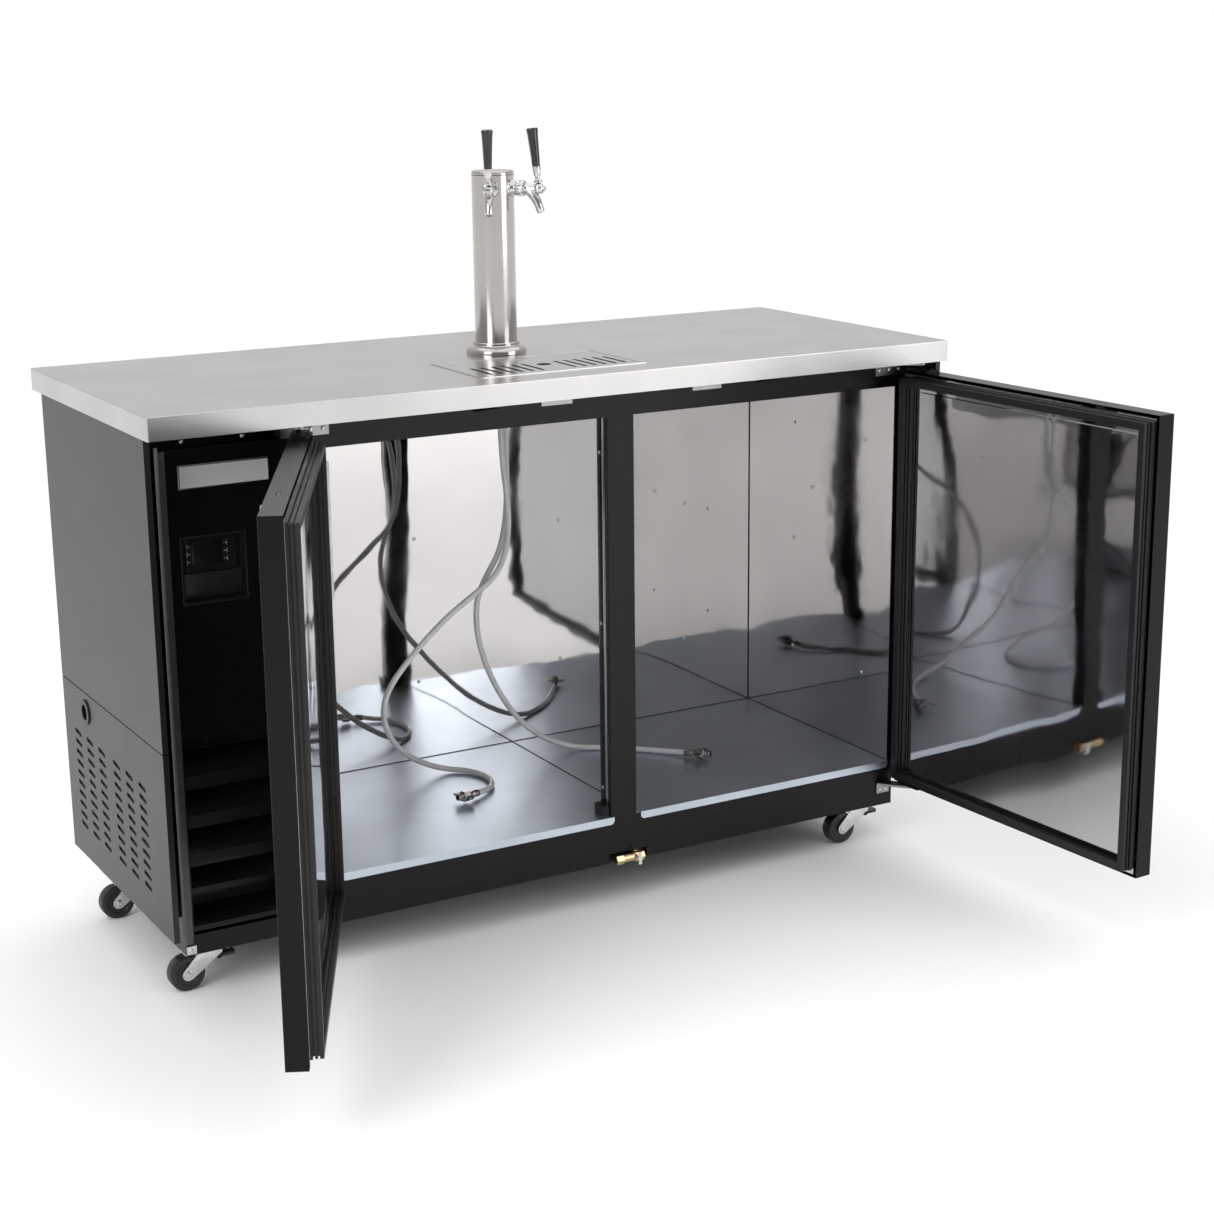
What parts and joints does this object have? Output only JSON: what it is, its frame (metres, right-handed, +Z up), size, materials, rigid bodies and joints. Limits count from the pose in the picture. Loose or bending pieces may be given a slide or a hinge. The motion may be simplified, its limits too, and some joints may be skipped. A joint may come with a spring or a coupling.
{
  "type": "kegerator",
  "caption": "Low beer-dispensing keg cooler with swing doors, steel worktop, tap tower, drip tray, beer lines and casters.",
  "frame": {"origin": "on the floor, under the middle of the bounding box with both doors open", "axes": "+X along the cabinet towards its right end, +Y towards its back, +Z up"},
  "size_m": [1.5905, 1.2072, 1.4122],
  "materials": {
    "worktop_steel": "satin",
    "tray_steel": "satin",
    "chrome": "polished",
    "black_paint": "satin",
    "grey_paint": "satin",
    "mirror_liner": "polished",
    "floor_steel": "satin",
    "zinc_plate": "plated",
    "brass": "satin",
    "foam": "matt",
    "seal": "satin",
    "black_plastic": "satin",
    "clear_hose": "gloss",
    "cooling_unit": "satin",
    "evaporator_cover": "satin",
    "handle_plastic": "gloss",
    "wheel": "satin",
    "silver_plastic": "satin"
  },
  "bodies": {
    "cabinet": {"worktop": "worktop_steel", "drip_tray": "tray_steel", "tower_column": "chrome", "tower_flange": "chrome", "left_side_panel": "grey_paint", "left_vent_panel": "grey_paint", "right_side_panel": "grey_paint", "back_panel": "zinc_plate", "base_frame": "black_paint", "insulation": "foam", "wall_liners": "mirror_liner", "floor_liner": "floor_steel", "front_frame": "black_paint", "mullion": "black_paint", "front_cover": "black_paint", "badge_plate": "silver_plastic", "controller": "black_plastic", "condensing_unit": "cooling_unit", "evaporator_cover": "evaporator_cover", "hinge_brackets": "zinc_plate", "drain_valve": "brass", "caster_plates": "zinc_plate", "fasteners": "zinc_plate", "grommets": "black_plastic", "faucet_body_left": "chrome", "beer_line_left": "clear_hose", "line_coupler_left": "chrome", "faucet_body_right": "chrome", "beer_line_right": "clear_hose", "line_coupler_right": "chrome"},
    "door_left": {"door_skin_left": "black_paint", "door_liner_left": "mirror_liner", "door_gasket_left": "seal", "door_hinge_arms_left": "black_paint"},
    "lock_cylinder_left": {"lock_cylinder_left": "chrome"},
    "lock_bolt_left": {"lock_bolt_left": "zinc_plate"},
    "tap_left": {"tap_lever_left": "chrome", "tap_handle_left": "handle_plastic"},
    "brake_pedal_front_left": {"brake_pedal_front_left": "black_plastic"},
    "door_right": {"door_skin_right": "black_paint", "door_liner_right": "mirror_liner", "door_gasket_right": "seal", "door_hinge_arms_right": "black_paint"},
    "lock_cylinder_right": {"lock_cylinder_right": "chrome"},
    "lock_bolt_right": {"lock_bolt_right": "zinc_plate"},
    "tap_right": {"tap_lever_right": "chrome", "tap_handle_right": "handle_plastic"},
    "brake_pedal_front_right": {"brake_pedal_front_right": "black_plastic"},
    "caster_front_left": {"caster_fork_front_left": "zinc_plate"},
    "wheel_front_left": {"caster_wheel_front_left": "wheel"},
    "caster_front_right": {"caster_fork_front_right": "zinc_plate"},
    "wheel_front_right": {"caster_wheel_front_right": "wheel"},
    "caster_back_left": {"caster_fork_back_left": "zinc_plate"},
    "wheel_back_left": {"caster_wheel_back_left": "wheel"},
    "caster_back_right": {"caster_fork_back_right": "zinc_plate"},
    "wheel_back_right": {"caster_wheel_back_right": "wheel"},
    "drip_grate": {"drip_grate": "tray_steel"},
    "condenser_fan": {"condenser_fan": "black_plastic"},
    "evaporator_fan": {"evaporator_fan": "black_plastic"},
    "drain_handle": {"drain_handle": "silver_plastic"}
  },
  "joints": [
    {"name": "grate_lift", "type": "slide", "parent": "cabinet", "child": "drip_grate", "axis": [0, 0, 1], "range_m": [0, 0.08]},
    {"name": "door_left_swing", "type": "hinge", "parent": "cabinet", "child": "door_left", "pos_m": [-0.5085, 0.01998, 0.5445], "axis": [0, 0, 1], "range_deg": [-0.8, 116.2]},
    {"name": "lock_left_turn", "type": "hinge", "parent": "door_left", "child": "lock_cylinder_left", "pos_m": [-0.73033, -0.39914, 0.924], "axis": [0.8973, -0.4415, 0], "range_deg": [0, 90]},
    {"name": "bolt_left_slide", "type": "slide", "parent": "door_left", "child": "lock_bolt_left", "axis": [0, 0, 1], "range_m": [0, 0.0121]},
    {"name": "tap_left_pull", "type": "hinge", "parent": "cabinet", "child": "tap_left", "pos_m": [-0.04663, 0.23435, 1.306], "axis": [0.848, -0.5299, 0], "range_deg": [0, 25]},
    {"name": "door_right_swing", "type": "hinge", "parent": "cabinet", "child": "door_right", "pos_m": [0.7435, 0.01998, 0.5445], "axis": [0, 0, 1], "range_deg": [-93.3, 6.7]},
    {"name": "lock_right_turn", "type": "hinge", "parent": "door_right", "child": "lock_cylinder_right", "pos_m": [0.78476, -0.45243, 0.924], "axis": [-0.9983, -0.0576, 0], "range_deg": [0, 90]},
    {"name": "bolt_right_slide", "type": "slide", "parent": "door_right", "child": "lock_bolt_right", "axis": [0, 0, 1], "range_m": [0, 0.0121]},
    {"name": "tap_right_pull", "type": "hinge", "parent": "cabinet", "child": "tap_right", "pos_m": [0.05773, 0.24257, 1.306], "axis": [0.7547, 0.6561, 0], "range_deg": [0, 25]},
    {"name": "caster_front_left_swivel", "type": "hinge", "parent": "cabinet", "child": "caster_front_left", "pos_m": [-0.681, 0.11298, 0.0715], "axis": [0, 0, 1], "continuous": true},
    {"name": "wheel_front_left_roll", "type": "hinge", "parent": "caster_front_left", "child": "wheel_front_left", "pos_m": [-0.721, 0.11298, 0.0315], "axis": [0, 1, 0], "continuous": true},
    {"name": "brake_front_left_press", "type": "hinge", "parent": "caster_front_left", "child": "brake_pedal_front_left", "pos_m": [-0.665, 0.11298, 0.053], "axis": [0, 1, 0], "range_deg": [0, 18]},
    {"name": "caster_front_right_swivel", "type": "hinge", "parent": "cabinet", "child": "caster_front_right", "pos_m": [0.681, 0.11298, 0.0715], "axis": [0, 0, 1], "continuous": true},
    {"name": "wheel_front_right_roll", "type": "hinge", "parent": "caster_front_right", "child": "wheel_front_right", "pos_m": [0.641, 0.11298, 0.0315], "axis": [0, 1, 0], "continuous": true},
    {"name": "brake_front_right_press", "type": "hinge", "parent": "caster_front_right", "child": "brake_pedal_front_right", "pos_m": [0.697, 0.11298, 0.053], "axis": [0, 1, 0], "range_deg": [0, 18]},
    {"name": "caster_back_left_swivel", "type": "hinge", "parent": "cabinet", "child": "caster_back_left", "pos_m": [-0.681, 0.48898, 0.0715], "axis": [0, 0, 1], "continuous": true},
    {"name": "wheel_back_left_roll", "type": "hinge", "parent": "caster_back_left", "child": "wheel_back_left", "pos_m": [-0.721, 0.48898, 0.0315], "axis": [0, 1, 0], "continuous": true},
    {"name": "caster_back_right_swivel", "type": "hinge", "parent": "cabinet", "child": "caster_back_right", "pos_m": [0.681, 0.48898, 0.0715], "axis": [0, 0, 1], "continuous": true},
    {"name": "wheel_back_right_roll", "type": "hinge", "parent": "caster_back_right", "child": "wheel_back_right", "pos_m": [0.641, 0.48898, 0.0315], "axis": [0, 1, 0], "continuous": true},
    {"name": "condenser_fan_spin", "type": "hinge", "parent": "cabinet", "child": "condenser_fan", "pos_m": [-0.627, 0.20098, 0.275], "axis": [0, 1, 0], "continuous": true},
    {"name": "evaporator_fan_spin", "type": "hinge", "parent": "cabinet", "child": "evaporator_fan", "pos_m": [-0.43, 0.45598, 0.76], "axis": [1, 0, 0], "continuous": true},
    {"name": "drain_handle_turn", "type": "hinge", "parent": "cabinet", "child": "drain_handle", "pos_m": [0.14, 0.04548, 0.087], "axis": [0, 1, 0], "range_deg": [0, 90]}
  ],
  "couplings": [
    {"joint": "bolt_left_slide", "follows": "lock_left_turn", "m_per_rad": 0.0076394},
    {"joint": "bolt_right_slide", "follows": "lock_right_turn", "m_per_rad": 0.0076394}
  ]
}
